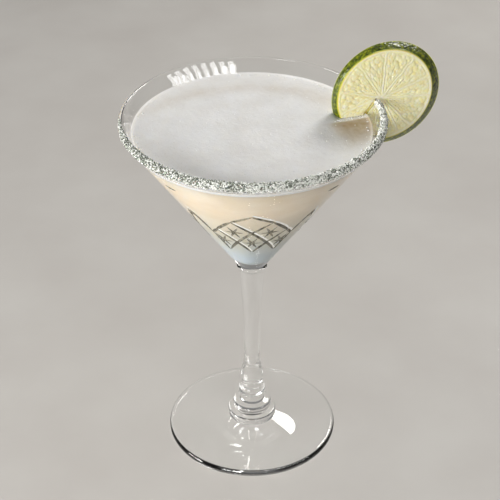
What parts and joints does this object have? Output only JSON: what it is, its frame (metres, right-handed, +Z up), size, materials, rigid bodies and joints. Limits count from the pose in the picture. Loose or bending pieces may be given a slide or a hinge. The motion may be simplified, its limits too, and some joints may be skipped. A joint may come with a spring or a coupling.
{
  "type": "margarita cocktail in a stemmed glass",
  "caption": "Cloudy lime cocktail with froth in a stemmed cut-pattern cocktail glass, with a half-salted rim and a slit lime wheel hung on it.",
  "frame": {"origin": "centre of the foot's flat underside, where the glass stands", "axes": "+Z up along the glass axis; +X to the side where the lime wheel hangs, which is turned 18.5 degrees from +X towards +Y; -Y is the side seen from the front"},
  "size_m": [0.1421, 0.1171, 0.197],
  "materials": {
    "glass": "clear polished cut glass",
    "drink": "cloudy pale cream liquid",
    "froth": "fine wet froth, off-white",
    "lime": "juicy pale green flesh with a glossy green rind",
    "salt": "coarse sparkling crystals"
  },
  "bodies": {
    "root": {"glass": "glass", "drink": "drink", "froth": "froth", "lime_wheel": "lime", "salt_rim": "salt"}
  },
  "joints": []
}
